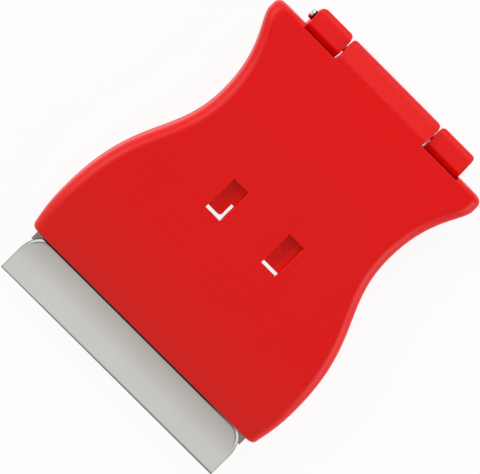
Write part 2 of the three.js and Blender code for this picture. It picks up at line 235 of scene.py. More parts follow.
class ScraperHinge(bpy.types.PropertyGroup):
    """Knuckles and pin of the hinge."""

    knuckle_radius: length("Knuckle radius", "Radius of the two outer barrels", 1.77)
    middle_radius: length("Middle radius", "Radius of the middle barrel", 1.64)
    middle_half: length("Middle half length", "Half of the middle knuckle's length at its rim", 8.1)
    left_draft: length("Left draft", "How far the middle knuckle draws in at its left root", 0.08)
    right_draft: length("Right draft", "How far the middle knuckle draws in at its right root", 0.6)
    gap: length("Slit", "Least gap between two knuckles", 0.03)
    lean: length("Slit lean", "How much the slits widen towards the back, on each side", 0.28)
    left_length: length("Left length", "Length of the left outer knuckle", 5.67)
    right_length: length("Right length", "Length of the right outer knuckle", 5.97)
    end_gap: length("End gap", "Between an outer knuckle's free end and the front cover", 0.06)
    knee: length("Knee", "How far the crown runs on behind the rear edge", 0.25)
    knee_round: length("Knee round", "Length of the bend at the knee, on each side", 0.18)
    flat_height: length("Flat height", "Height of the outer knuckles' flat tops above the pin", 1.62)
    flat_fall: length("Flat fall", "How far the flat tops fall towards the rear", 0.66)
    rim_width: length("Rim width", "Width of the bevel and the round along the rear rims", 0.7)
    rim_foot: length("Rim foot", "Width of the round below the bevel", 0.1)
    rim_drop: length("Rim drop", "How far the bevel falls", 0.66)
    rim_round: length("Rim round", "Length of the bends at the bevel, on each side", 0.08)
    flat_reach: length("Flat reach", "How far the flat tops run ahead of the pin", 1.12)
    groove_reach: length("Groove reach", "How far the groove's floor runs ahead of the pin", 1.89)
    groove_height: length("Groove height", "Height of the groove's floor above the pin", 0.9)
    lip_reach: length("Lip reach", "How far the groove's lowest place lies ahead of the pin", 2.11)
    lip_height: length("Lip height", "Height of the groove's lowest place above the pin", 0.2)
    brow: length("Brow", "How far the front cover hangs over the grooves", 0.17)
    brow_height: length("Brow height", "Height of the brow's underside above the pin", 0.85)
    left_round: length("Left round", "Plan radius of the left knuckle's free corner", 0.95)
    right_round: length("Right round", "Plan radius of the right knuckle's free corner", 0.5)
    slit_round: length("Slit round", "Plan radius of the knuckles' corners at the slits", 0.6)
    end_soften: length("End softening", "Rounding of the knuckles' end edges", 0.1)
    clearance: length("Clearance", "Room round a knuckle in the other cover", 0.2)
    pin_run: length("Pin run", "Room round the pin in the middle knuckle", 0.07)
    pin_fit: length("Pin fit", "Room round the pin in the outer knuckles", 0.02)
    pin_chamfer: length("Pin chamfer", "Chamfer at the pin's ends", 0.18)
    pin_dome: length("Pin dome", "Height of the pin's domed end", 0.06)


class ScraperCatch(bpy.types.PropertyGroup):
    """Windows, ledges, hooks and tongues that hold the covers shut."""

    window_spacing: length("Window spacing", "Between the middles of the two windows", 10.2)
    window_width: length("Window width", "Width of a window", 2.65)
    window_length: length("Window length", "Length of a window", 5.2)
    window_front_at: length("Window place", "From the blade's edge to a window's front end", 24.55)
    window_round: length("Window round", "Rounding of a window's rim", 0.16)
    hook_side_gap: length("Side gap", "Between a hook and its window's sides", 0.006)
    left_hook_gap: length("Left hook gap", "Gap that the left hook leaves on its right", 0.42)
    hook_gap: length("Front gap", "Between a hook and its window's front end", 0.5)
    hook_thickness: length("Hook thickness", "Thickness of a hook along the tool", 1.9)
    hook_recess: length("Hook recess", "How far a hook lies below the face", 1.0)
    hook_fall: length("Hook fall", "How far a hook's top slopes down to its nose", 0.25)
    hook_corner: length("Hook corner", "Rounding of the left hook's corner at its gap", 0.45)
    ramp_gap: length("Ramp gap", "Between a hook's nose and the ramp behind it", 0.006)
    ramp_fall: length("Ramp fall", "How far the ramp slopes down to the window's rear end", 0.1)
    ledge_clearance: length("Ledge clearance", "Between a hook and its ledge", 0.2)
    ledge_drop: length("Ledge drop", "How far a ledge lies below the roof", 0.6)
    ledge_thickness: length("Ledge thickness", "Thickness of a ledge", 1.0)
    frame_wall: length("Frame wall", "Wall round a window, inside the cover", 0.8)
    catch_depth: length("Catch depth", "How far a hook's nose reaches over its ledge", 0.5)
    slot_front: length("Slot front", "Slot ahead of a window's front end", 0.8)
    slot_left: length("Slot left", "Slot beyond a window's left side", 0.1)
    slot_right: length("Slot right", "Slot beyond a window's right side", 0.75)
    tongue_length: length("Tongue length", "Length of the slots beside a tongue", 3.2)
    pad_height: length("Pad height", "Height of the foot under a hook", 0.3)


class ScraperBlade(bpy.types.PropertyGroup):
    """Blade and the folded spine on its back."""

    grind: length("Ground edge", "Length of the ground bevel at the cutting edge", 0.3)
    keen: length("Edge thickness", "Thickness left at the cutting edge", 0.05)
    side: length("Straight side", "From the cutting edge to the shoulder", 3.5)
    shoulder_step: length("Shoulder step", "How far a shoulder comes in", 2.7)
    shoulder_length: length("Shoulder length", "Length of a shoulder", 3.5)
    shoulder_rim: length("Shoulder rim", "Rounding of the blade's upper edges", 0.04)
    # Width of the painted highlight on a shoulder.
    shoulder_highlight_width: length("Crescent", "Width of the bright rim on a shoulder", 0.32)
    leaf: length("Leaf", "Thickness of the folded spine", 0.35)
    spine_front_at: length("Spine front", "From the cutting edge to the lower leaf", 5.4)
    upper_leaf: length("Upper leaf", "Length of the spine's upper leaf", 5.0)
    spine_half: length("Spine half width", "Half of the spine's width", 19.2)
    spine_corner: length("Spine corner", "Rounding of the spine's front corners", 0.06)
    clearance: length("Pocket clearance", "Room round the spine in the rear cover", 0.2)
    stop: length("Stop", "Thickness of the wall behind the blade", 1.2)


class ScraperFinish(bpy.types.PropertyGroup):
    """Colours and finishes."""

    plastic: colour("Plastic", "Red of the moulded covers", (0.73, 0.0040, 0.0036))
    plastic_deep: colour("Deep plastic", "Deeper red that mottles the covers", (0.69, 0.0032, 0.0030))
    # Painted shade: a duller red towards the mouth, where the crown slopes away from the light.
    plastic_painted_mouth_shade: colour("Dull plastic", "Duller red towards the mouth", (0.70, 0.014, 0.010))
    mouth_shade_reach: length("Dull reach", "How far the duller red runs from the mouth", 15.0)
    # Painted bounce light: a purer, brighter red down in the windows.
    plastic_painted_window_light: colour("Window plastic", "Purer red down in the windows", (0.79, 0.0045, 0.0012))
    plastic_rough: share("Plastic roughness", "Roughness of the moulded skin", 0.385)
    plastic_gloss: share("Plastic gloss", "Specular level of the moulded skin", 0.19)
    blade: colour("Blade", "Ground steel of the blade", (0.81, 0.795, 0.755))
    # Painted shade: the blade darkens towards the mouth, where the lip shades it; the random cloud also
    # moves towards this colour.
    blade_cloud_and_painted_shade: colour("Blade shade", "Shade of the blade towards the mouth", (0.605, 0.575, 0.535))
    # Painted shade: dark lines along the blade's edges and inside the shoulders' highlight.
    blade_painted_edge_shade: colour("Blade line", "Dark line along the blade's edges", (0.30, 0.29, 0.275))
    # Painted highlight: a bright crescent on the blade's shoulders.
    blade_painted_highlight: colour("Blade rim", "Bright rim on the blade's shoulders", (0.99, 0.985, 0.97))
    blade_rough: share("Blade roughness", "Roughness of the ground steel", 0.33)
    blade_even: length("Even blade", "How far the blade's tone stays even from its edge", 1.7)
    # Painted shadow: a dark line on the blade where it enters the mouth.
    mouth_painted_shadow: colour("Crevice", "Dark line where the blade enters the mouth", (0.035, 0.008, 0.007))
    mouth_shadow_width: length("Crevice width", "Width of the dark line at the mouth", 0.45)
    line_width: length("Line width", "Width of the dark line along the blade's edges", 0.12)
    # Rolled steel, its darker tone partly painted shade from the lip above the spine's corners.
    spine: colour("Spine", "Rolled steel of the spine", (0.40, 0.40, 0.37))
    spine_dark: colour("Spine grain", "Darker grain of the spine", (0.30, 0.30, 0.28))
    spine_rough: share("Spine roughness", "Roughness of the rolled steel", 0.42)
    pin: colour("Pin", "Bright steel of the hinge pin", (0.75, 0.72, 0.68))
    pin_dark: colour("Pin grain", "Drawn lines on the hinge pin", (0.55, 0.53, 0.50))
    pin_rough: share("Pin roughness", "Roughness of the bright steel", 0.2)
    # Painted shade and painted dark reflection: a dark band on the pin beside the left knuckle; the
    # bright end lies outside it.
    pin_painted_shade: colour("Pin stain", "Dark stain of the pin beside the knuckle", (0.02, 0.018, 0.016))
    pin_shade_length: length("Stain length", "Length of the dark stain on the pin", 1.5)
    pin_bright: length("Bright end", "Length of the pin's end that stays bright", 0.4)
    floor: colour("Floor", "Pale floor", (0.95, 0.95, 0.95))


def arc(centre, radius, start, end, steps):
    """Points of an arc, its two ends included."""
    angles = [start + (end - start) * i / steps for i in range(steps + 1)]
    return [centre + radius * Vector((math.cos(a), math.sin(a))) for a in angles]


def curve(start, start_handle, end_handle, end):
    """Points of a curve after its start."""
    steps = max(CORNER_STEPS, math.ceil((end - start).length / CURVE_STEP))
    return [Vector(p) for p in interpolate_bezier(start, start_handle, end_handle, end, steps + 1)[1:]]


def round_fall(radius, distance):
    """How far a rounded edge falls at a distance from its end."""
    inward = max(0.0, radius - distance)
    return radius - math.sqrt(radius**2 - inward**2)


class CoverForm:
    """Outline, crown and places that follow from the scene's sizes."""

    def __init__(self, scene):
        covers = scene.scraper_covers
        hinge = scene.scraper_hinge
        blade = scene.scraper_blade
        catch = scene.scraper_catch
        self.covers = covers
        self.hinge = hinge
        self.catch = catch
        self.parting = THICKNESS / 2
        self.lip_at = covers.blade_reach
        self.belly_at = self.lip_at + covers.lip_to_belly
        self.waist_at = self.belly_at + covers.belly_to_waist
        self.horn_at = self.waist_at + covers.waist_to_horn
        self.rear_at = self.horn_at + covers.horn_to_rear
        self.hinge_at = HINGE.y - EDGE_Y
        self.end_at = self.hinge_at + hinge.knuckle_radius
        self.notch_at = self.hinge_at - hinge.knuckle_radius - hinge.clearance
        self.tip_half = hinge.middle_half
        self.outer_inner = self.tip_half + hinge.gap
        self.blade_thickness = BLADE_HIGH.z - BLADE_LOW.z
        self.blade_depth = BLADE_HIGH.y - BLADE_LOW.y
        self.seat = self.parting - self.blade_thickness - blade.leaf
        self.spine_top = self.parting + blade.leaf
        self.spine_back_at = self.blade_depth + blade.leaf
        self.relief_front_at = self.spine_back_at - blade.upper_leaf - blade.clearance
        self.relief_top = self.spine_top + covers.parting_gap
        self.pocket_half = blade.spine_half + blade.clearance
        self.pocket_back_at = self.spine_back_at + blade.clearance
        self.window_rear_at = catch.window_front_at + catch.window_length
        self.hook_front_at = catch.window_front_at + catch.hook_gap
        self.hook_rear_at = self.hook_front_at + catch.hook_thickness
        self.ledge_front_at = self.hook_rear_at + catch.ledge_clearance
        self.nose_at = self.ledge_front_at + catch.catch_depth
        self.slot_rear_at = self.hook_front_at + catch.tongue_length
        self.ledge_top = THICKNESS - covers.roof - catch.ledge_drop
        self.hook_seat = covers.roof + catch.pad_height
        self.outline = self.half_outline()
        self.outline_at = [point.y for point in self.outline]

    def half_outline(self):
        """Half of the outline, from the mouth to the rear edge: x across, y along."""
        covers = self.covers
        lip = Vector((covers.lip_half - covers.lip_corner, self.lip_at + covers.lip_corner))
        horn = Vector((covers.horn_half - covers.horn_corner, self.rear_at - covers.horn_corner))
        belly = Vector((covers.belly_half, self.belly_at))
        approach = belly - Vector((0, covers.belly_ease))
        waist = Vector((covers.waist_half, self.waist_at))
        flank = Vector((covers.horn_half, self.horn_at))
        points = arc(lip, covers.lip_corner, -math.pi / 2, 0, CORNER_STEPS)
        start = points[-1]
        handles = [end.lerp(approach, HANDLE_SHARE) for end in (start, belly)]
        points += curve(start, *handles, belly)
        points += curve(
            belly,
            belly + Vector((0, covers.belly_handle)),
            waist - Vector((0, covers.waist_front)),
            waist,
        )
        points += curve(
            waist,
            waist + Vector((0, covers.waist_rear)),
            flank - Vector((0, covers.horn_handle)),
            flank,
        )
        return points + arc(horn, covers.horn_corner, 0, math.pi / 2, CORNER_STEPS)

    def half_width(self, at):
        """Half of the covers' width at a place along the tool."""
        after = min(max(1, bisect.bisect_left(self.outline_at, at)), len(self.outline) - 1)
        a, b = self.outline[after - 1], self.outline[after]
        return a.x + (b.x - a.x) * (at - a.y) / max(b.y - a.y, MERGE)

    def crown_height(self, at):
        """Height of the crown above the parting face."""
        covers = self.covers
        into_nose = max(0.0, self.lip_at + covers.nose_length - at) / covers.nose_length
        into_tail = max(0.0, at - (self.rear_at - covers.tail_length)) / covers.tail_length
        drop = covers.lip_drop * into_nose**2 + covers.rear_drop * into_tail**2
        return self.parting - covers.parting_gap / 2 - drop

    def stations(self, start, end):
        """Places along the tool for sections, none of them close to a window's end."""
        catch = self.catch
        keep_off = 2 * catch.window_round
        ends = (catch.window_front_at, self.window_rear_at)
        inner = [
            at
            for at in self.outline_at
            if start + MERGE < at < end - MERGE and all(abs(at - e) > keep_off for e in ends)
        ]
        return [start, *inner, end]

    def blank_section(self, at):
        """Half of the outer section, from the parting face to the crown."""
        covers = self.covers
        half = self.half_width(at)
        height = self.crown_height(at) - round_fall(covers.lip_round, at - self.lip_at)
        height -= round_fall(covers.rear_round, self.rear_at - at)
        edge = min(covers.edge_round, height - FOOT_ROUNDS * covers.parting_round)
        foot = Vector((half - covers.parting_round, covers.parting_round))
        top = Vector((half - edge, height - edge))
        points = arc(foot, covers.parting_round, -math.pi / 2, 0, FOOT_STEPS)
        return points + arc(top, edge, 0, math.pi / 2, ROUND_STEPS)

    def hollow_section(self, at):
        """Half of the inner section, from below the parting face to the roof."""
        covers = self.covers
        half = self.half_width(at) - covers.wall
        height = self.crown_height(at) - covers.roof
        corner = Vector((half - covers.hollow_round, height - covers.hollow_round))
        points = arc(corner, covers.hollow_round, 0, math.pi / 2, HOLLOW_STEPS)
        return [Vector((half, -OVERRUN))] + points

    def outer_length(self, x):
        """Length of the outer knuckle on the side where x lies."""
        return self.hinge.left_length if x < 0 else self.hinge.right_length

    def outer_end(self, side):
        """Distance from the middle to an outer knuckle's free end."""
        return self.outer_inner + self.outer_length(side)

    def middle_draft(self, x):
        """How far the middle knuckle draws in at its root, on the side where x lies."""
        return self.hinge.left_draft if x < 0 else self.hinge.right_draft

    def window_x(self, side):
        """Place of a window's middle across the tool."""
        return side * self.catch.window_spacing / 2

    def hook_ends(self, side):
        """Lowest and highest x of a hook; the left one leaves a gap on its right."""
        reach = self.catch.window_width / 2
        right_gap = self.catch.left_hook_gap if side < 0 else self.catch.hook_side_gap
        x = self.window_x(side)
        return x - reach + self.catch.hook_side_gap, x + reach - right_gap


def spot(x, at, z):
    """A point whose place along the tool is told from the blade's edge."""
    return Vector((x, EDGE_Y + at, z))


def grid(bm, columns, rows, place):
    """A grid of faces with its corners where place(column, row) says; returns the corners by row."""
    made = bmesh.ops.create_grid(bm, x_segments=columns - 1, y_segments=rows - 1, size=1.0)
    low = min(v.co.x for v in made["verts"])
    span = -2 * low
    lines = [[] for _ in range(rows)]
    for vert in made["verts"]:
        column = round((vert.co.x - low) / span * (columns - 1))
        row = round((vert.co.y - low) / span * (rows - 1))
        vert.co = place(column, row)
        lines[row].append(vert)
    return lines


def finish_solid(bm):
    bmesh.ops.remove_doubles(bm, verts=bm.verts[:], dist=MERGE)
    bmesh.ops.recalc_face_normals(bm, faces=bm.faces[:])
    return bm


def closed_grid(columns, rows, place):
    """A solid whose skin is a grid, closed at its first row, at its last row and along its seam."""
    bm = bmesh.new()
    lines = grid(bm, columns, rows, place)
    for end in (lines[0], lines[-1]):
        bmesh.ops.contextual_create(bm, geom=end)
    rim = [edge for edge in bm.edges if edge.is_boundary]
    bmesh.ops.holes_fill(bm, edges=rim, sides=0)
    return finish_solid(bm)


def crowned_block(form, facing, stations, section):
    """A solid through mirrored half sections; facing is 1 for the front cover, -1 for the rear one."""
    halves = [section(at) for at in stations]
    count = len(halves[0])
    foot = form.covers.parting_gap / 2

    def place(column, row):
        left = column < count
        point = halves[row][column if left else 2 * count - 1 - column]
        x = -point.x if left else point.x
        return spot(x, stations[row], form.parting + facing * (foot + point.y))

    return closed_grid(2 * count, len(stations), place)


def block(low, high):
    """A box between two corners."""
    bm = bmesh.new()
    place = Matrix.Translation((low + high) / 2) @ Matrix.Diagonal((*(high - low), 1))
    bmesh.ops.create_cube(bm, size=1.0, matrix=place)
    return bm


def round_edges(bm, edges, width, segments):
    bmesh.ops.bevel(
        bm,
        geom=edges,
        offset=width,
        offset_type="OFFSET",
        affect="EDGES",
        segments=segments,
        profile=0.5,
        material=-1,
        clamp_overlap=True,
    )


def draw_out(bm, faces, way):
    """Draws flat faces out into a solid."""
    drawn = bmesh.ops.extrude_face_region(bm, geom=faces, use_keep_orig=True)
    verts = [item for item in drawn["geom"] if isinstance(item, bmesh.types.BMVert)]
    bmesh.ops.translate(bm, verts=verts, vec=way)
    return finish_solid(bm)


def prism(profile, start_x, end_x):
    """A profile drawn in (at, z), drawn out along X."""
    bm = bmesh.new()
    face = bm.faces.new([bm.verts.new(spot(start_x, p.x, p.y)) for p in profile])
    return draw_out(bm, [face], (end_x - start_x, 0, 0))


def hinge_rod(radius, start_x, end_x):
    """A rod along the hinge's axis."""
    bm = bmesh.new()
    middle = Vector(((start_x + end_x) / 2, HINGE.y, HINGE.z))
    bmesh.ops.create_cone(
        bm,
        cap_ends=True,
        segments=PIN_SIDES,
        radius1=radius,
        radius2=radius,
        depth=end_x - start_x,
        matrix=Matrix.Translation(middle) @ Matrix.Rotation(math.pi / 2, 4, "Y"),
    )
    return bm


def bend(before, corner, after, size):
    """Points that round a corner between two straight stretches."""
    start = corner + (before - corner).normalized() * size
    end = corner + (after - corner).normalized() * size
    handles = [point.lerp(corner, HANDLE_SHARE) for point in (start, end)]
    return [Vector(p) for p in interpolate_bezier(start, *handles, end, BEND_STEPS + 1)]


def rear_rim(axis, radius, height, hinge):
    """Upper end, at a height above the pin, and foot of the bevel along a knuckle's rear rim."""
    upper = axis + Vector((radius - hinge.rim_width, height))
    foot = axis + Vector((radius - hinge.rim_foot, height - hinge.rim_drop))
    return upper, foot


def sloped_knuckle(form, radius, fall):
    """Section of a knuckle on its cover's side: a knee, a slope and a bevel, to the barrel's back."""
    hinge = form.hinge
    axis = Vector((form.hinge_at, 0))
    root_at = form.rear_at - 2 * form.covers.rear_round
    lift = form.covers.parting_gap / 2 + ROOT_RISE - fall
    root = Vector((root_at, form.crown_height(root_at) + lift))
    knee_at = form.rear_at + hinge.knee
    knee = Vector((knee_at, form.crown_height(knee_at) + lift))
    toward = knee - axis
    touch = math.atan2(toward.y, toward.x) - math.acos(radius / toward.length)
    past_touch = radius - hinge.rim_width - radius * math.cos(touch)
    height = radius * math.sin(touch) - past_touch / math.tan(touch)
    upper, foot = rear_rim(axis, radius, height, hinge)
    back = axis + Vector((radius, 0))
    points = [Vector((root_at, 0)), root] + bend(root, knee, upper, hinge.knee_round)
    points += bend(knee, upper, foot, hinge.rim_round)
    return points + bend(upper, foot, back, hinge.rim_round) + [back]


def knuckle_section(form, radius, fall, flat):
    """Whole section of a knuckle, with a flat on its far side where flat is true."""
    hinge = form.hinge
    axis = Vector((form.hinge_at, 0))
    points = sloped_knuckle(form, radius, fall)
    if not flat:
        return points + arc(axis, radius, 0, -math.pi, BARREL_STEPS)[1:]
    height = hinge.flat_height - fall
    upper, foot = rear_rim(axis, radius, height - hinge.flat_fall, hinge)
    upper.y, foot.y = -upper.y, -foot.y
    front = axis + Vector((-hinge.flat_reach + fall, -height))
    floor = axis + Vector((-hinge.groove_reach + fall, -hinge.groove_height))
    lip = axis + Vector((-hinge.lip_reach + fall, -hinge.lip_height))
    points += bend(points[-1], foot, upper, hinge.rim_round)
    points += bend(foot, upper, front, hinge.rim_round)
    points += bend(upper, front, floor, hinge.knee_round)
    return points + [floor, lip, Vector((lip.x, 0))]


def knuckle(form, facing, start_x, end_x, rounds, flat):
    """A knuckle from start_x to end_x; rounds are the plan radii of its two rear corners."""
    hinge = form.hinge
    soften = hinge.end_soften
    barrel = hinge.knuckle_radius if flat else hinge.middle_radius
    turns = [math.pi / 2 * i / END_STEPS for i in range(END_STEPS + 1)]
    stations = []
    for x, inward, radius in ((start_x, 1, rounds[0]), (end_x, -1, rounds[1])):
        depths = {round(r * (1 - math.cos(t)), DEPTH_DIGITS) for r in (radius, soften) for t in turns}
        stations += [(x + inward * d, round_fall(soften, d), round_fall(radius, d)) for d in depths]
    stations.sort()
    sections = [knuckle_section(form, barrel - fall, fall, flat) for _, fall, _ in stations]

    def place(column, row):
        x, fall, corner = stations[row]
        point = sections[row][column]
        at = min(point.x, form.hinge_at + barrel - max(fall, corner))
        return spot(x, at, form.parting + facing * point.y)

    return closed_grid(len(sections[0]), len(stations), place)


def depth_share(form, z):
    """How far down the barrels a height lies: 0 at their top, 1 at their bottom."""
    radius = form.hinge.knuckle_radius
    return min(max(0.0, (HINGE.z + radius - z) / (2 * radius)), 1.0)


def draft_ends(form, bm):
    """Draws the middle knuckle's ends in towards its root and its underside, which shapes the slits."""
    root_y = EDGE_Y + form.rear_at - form.covers.wall
    span = EDGE_Y + form.end_at - root_y
    for vert in bm.verts:
        share_left = max(0.0, 1 - (vert.co.y - root_y) / span)
        draft = share_left**2 * form.middle_draft(vert.co.x)
        inward = draft + depth_share(form, vert.co.z) * form.hinge.lean
        vert.co.x *= 1 - inward / form.tip_half
    return bm


def lean_inner_end(form, bm):
    """Draws an outer knuckle's inner end away from the slit towards its underside."""
    for vert in bm.verts:
        near_slit = 1 - (abs(vert.co.x) - form.outer_inner) / form.outer_length(vert.co.x)
        outward = near_slit * depth_share(form, vert.co.z) * form.hinge.lean
        vert.co.x += math.copysign(outward, vert.co.x)
    return bm


def temporary(bm, name):
    mesh = bpy.data.meshes.new(name)
    bm.to_mesh(mesh)
    bm.free()
    obj = bpy.data.objects.new(name, mesh)
    bpy.context.scene.collection.objects.link(obj)
    return obj


def combine(bm, tools, operation):
    """Joins tools to a solid or cuts them from it, one after the other, and returns the new solid."""
    target = temporary(bm, "work")
    helpers = [temporary(tool, "tool") for tool in tools]
    for helper in helpers:
        step = target.modifiers.new("step", "BOOLEAN")
        step.object = helper
        step.operation = operation
        step.solver = "EXACT"
    evaluated = target.evaluated_get(bpy.context.evaluated_depsgraph_get())
    result = bmesh.new()
    result.from_mesh(evaluated.to_mesh())
    evaluated.to_mesh_clear()
    for helper in (target, *helpers):
        mesh = helper.data
        bpy.data.objects.remove(helper)
        bpy.data.meshes.remove(mesh)
    if not result.faces:
        raise RuntimeError("a solid was lost while it was being cut")
    bmesh.ops.remove_doubles(result, verts=result.verts[:], dist=MERGE)
    return result


def cut(bm, *tools):
    return combine(bm, tools, "DIFFERENCE")


def join(bm, *tools):
    return combine(bm, tools, "UNION")


def make_piece(bm, node, body, material):
    """Turns a mesh into a finished object that stands for a CAD node."""
    mesh = bpy.data.meshes.new(node + "_skin")
    bm.to_mesh(mesh)
    bm.free()
    mesh.shade_smooth()
    mesh.set_sharp_from_angle(angle=SHARP_ANGLE)
    mesh.materials.append(material)
    piece = bpy.data.objects.new(node + "_skin", mesh)
    bpy.context.scene.collection.objects.link(piece)
    normals = piece.modifiers.new("flat faces stay flat", "WEIGHTED_NORMAL")
    normals.keep_sharp = True
    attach(piece, body)
    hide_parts(node)
    return piece


def link(tree, start, end):
    tree.links.new(start, end)


def grain_group():
    """Broad and fine variation over a surface; each material gives it a stretch and two scales."""
    name = "Surface grain"
    if name in bpy.data.node_groups:
        return bpy.data.node_groups[name]
    tree = bpy.data.node_groups.new(name, "ShaderNodeTree")
    details = {"Mottle": MOTTLE_DETAIL, "Grain": GRAIN_DETAIL}
    for title in ("Place", "Stretch"):
        tree.interface.new_socket(title, in_out="INPUT", socket_type="NodeSocketVector")
    for title in details:
        tree.interface.new_socket(title + " scale", in_out="INPUT", socket_type="NodeSocketFloat")
        tree.interface.new_socket(title, in_out="OUTPUT", socket_type="NodeSocketFloat")
    inside = tree.nodes.new("NodeGroupInput")
    outside = tree.nodes.new("NodeGroupOutput")
    stretched = tree.nodes.new("ShaderNodeVectorMath")
    stretched.operation = "MULTIPLY"
    link(tree, inside.outputs["Place"], stretched.inputs[0])
    link(tree, inside.outputs["Stretch"], stretched.inputs[1])
    for title, detail in details.items():
        noise = tree.nodes.new("ShaderNodeTexNoise")
        noise.inputs["Detail"].default_value = detail
        link(tree, stretched.outputs["Vector"], noise.inputs["Vector"])
        link(tree, inside.outputs[title + " scale"], noise.inputs["Scale"])
        link(tree, noise.outputs["Fac"], outside.inputs[title])
    return tree


def start_material(name, stretch):
    """A material with a Principled shader, and its own grain on Object coordinates."""
    material = bpy.data.materials.new(name)
    material.use_nodes = True
    tree = material.node_tree
    place = tree.nodes.new("ShaderNodeTexCoord")
    grain = tree.nodes.new("ShaderNodeGroup")
    grain.node_tree = grain_group()
    grain.inputs["Stretch"].default_value = stretch
    grain.inputs["Mottle scale"].default_value = MOTTLE_SCALE
    grain.inputs["Grain scale"].default_value = GRAIN_SCALE
    link(tree, place.outputs["Object"], grain.inputs["Place"])
    return material, tree, tree.nodes["Principled BSDF"], grain.outputs


def mix_colours(tree, factor, first, second):
    """Mixes two colours, each given as a value or as a socket."""
    mix = tree.nodes.new("ShaderNodeMix")
    mix.data_type = "RGBA"
    link(tree, factor, mix.inputs["Factor"])
    for name, value in (("A", first), ("B", second)):
        if isinstance(value, bpy.types.NodeSocket):
            link(tree, value, mix.inputs[name])
        else:
            mix.inputs[name].default_value = (*value, 1.0)
    return mix.outputs["Result"]


def place_values(tree):
    """X, Y and Z of Object coordinates."""
    place = tree.nodes.new("ShaderNodeTexCoord")
    apart = tree.nodes.new("ShaderNodeSeparateXYZ")
    link(tree, place.outputs["Object"], apart.inputs["Vector"])
    return apart.outputs


def ease(tree, value, start, end, low=0.0, high=1.0):
    """Goes smoothly from low to high while value goes from start to end."""
    node = tree.nodes.new("ShaderNodeMapRange")
    node.interpolation_type = "SMOOTHSTEP"
    node.inputs["From Min"].default_value = start
    node.inputs["From Max"].default_value = end
    node.inputs["To Min"].default_value = low
    node.inputs["To Max"].default_value = high
    link(tree, value, node.inputs["Value"])
    return node.outputs["Result"]


def calculate(tree, operation, first, second=0.0):
    """Calculates with one or two numbers, each given as a value or as a socket."""
    node = tree.nodes.new("ShaderNodeMath")
    node.operation = operation
    for socket, value in zip(node.inputs, (first, second)):
        if isinstance(value, bpy.types.NodeSocket):
            link(tree, value, socket)
        else:
            socket.default_value = value
    return node.outputs[0]


def spread(tree, value, low, high):
    """Moves a grain value into a range."""
    node = tree.nodes.new("ShaderNodeMapRange")
    node.inputs["To Min"].default_value = low
    node.inputs["To Max"].default_value = high
    link(tree, value, node.inputs["Value"])
    return node.outputs["Result"]


def overlap(tree, mask, *others):
    """1 where every mask is."""
    for other in others:
        mask = calculate(tree, "MULTIPLY", mask, other)
    return mask


def finish_surface(tree, shader, grain, tint, rough, drift, bumpiness):
    """Gives a shader its colour, a roughness that drifts with the mottle and a fine bump."""
    link(tree, tint, shader.inputs["Base Color"])
    roughness = spread(tree, grain["Mottle"], rough - drift, rough + drift)
    link(tree, roughness, shader.inputs["Roughness"])
    bump = tree.nodes.new("ShaderNodeBump")
    bump.inputs["Strength"].default_value = bumpiness
    bump.inputs["Distance"].default_value = BUMP_DEPTH
    link(tree, grain["Grain"], bump.inputs["Height"])
    link(tree, bump.outputs["Normal"], shader.inputs["Normal"])


def inside_windows(scene, tree):
    """1 on what lies down in the two windows, 0 elsewhere."""
    form = CoverForm(scene)
    catch, place = form.catch, place_values(tree)
    fade = catch.window_round
    deep = WINDOW_FADE * fade
    below_rim = ease(tree, place["Z"], THICKNESS - fade, THICKNESS - deep)
    above_ledge = ease(tree, place["Z"], form.ledge_top, form.ledge_top + deep)
    mask = overlap(tree, below_rim, above_ledge)
    from_middle = calculate(tree, "ABSOLUTE", place["X"])
    middle_y = EDGE_Y + catch.window_front_at + catch.window_length / 2
    spans = (
        (from_middle, catch.window_spacing / 2, catch.window_width / 2),
        (place["Y"], middle_y, catch.window_length / 2),
    )
    for value, middle, reach in spans:
        off = calculate(tree, "ABSOLUTE", calculate(tree, "SUBTRACT", value, middle))
        mask = overlap(tree, mask, ease(tree, off, reach + fade, reach))
    return mask


def moulded_plastic(scene):
    """Mottled red plastic, with painted shade that dulls it towards the mouth and painted bounce light
    that makes it a purer red down in the windows; all pieces share it.
    """
    name = "moulded_red_plastic"
    if name in bpy.data.materials:
        return bpy.data.materials[name]
    finish = scene.scraper_finish
    material, tree, shader, grain = start_material(name, PLASTIC_STRETCH)
    red = mix_colours(tree, grain["Mottle"], finish.plastic, finish.plastic_deep)
    mouth = EDGE_Y + scene.scraper_covers.blade_reach
    # Painted shade: the red turns duller towards the mouth.
    painted_shade_near_mouth = ease(tree, place_values(tree)["Y"], mouth + finish.mouth_shade_reach, mouth)
    red = mix_colours(tree, painted_shade_near_mouth, red, finish.plastic_painted_mouth_shade)
    # Painted bounce light: a brighter red on what lies down in the windows.
    red = mix_colours(tree, inside_windows(scene, tree), red, finish.plastic_painted_window_light)
    shader.inputs["Specular IOR Level"].default_value = finish.plastic_gloss
    finish_surface(tree, shader, grain, red, finish.plastic_rough, PLASTIC_DRIFT, PLASTIC_BUMP)
    return material


def steel(name, bright, dark, rough, stretch, painted_shade=None):
    """Steel with lines along one direction; painted_shade is an optional band of painted shade: a
    colour with its start and its end along X.
    """
    material, tree, shader, grain = start_material(name, stretch)
    metal = mix_colours(tree, grain["Grain"], bright, dark)
    if painted_shade:
        tint, start, end = painted_shade
        x = place_values(tree)["X"]
        past_start = ease(tree, x, start, start + PIN_SHADE_FADE)
        before_end = ease(tree, x, end, end - PIN_SHADE_FADE)
        metal = mix_colours(tree, overlap(tree, past_start, before_end), metal, tint)
    shader.inputs["Metallic"].default_value = 1.0
    finish_surface(tree, shader, grain, metal, rough, STEEL_DRIFT, STEEL_BUMP)
    return material


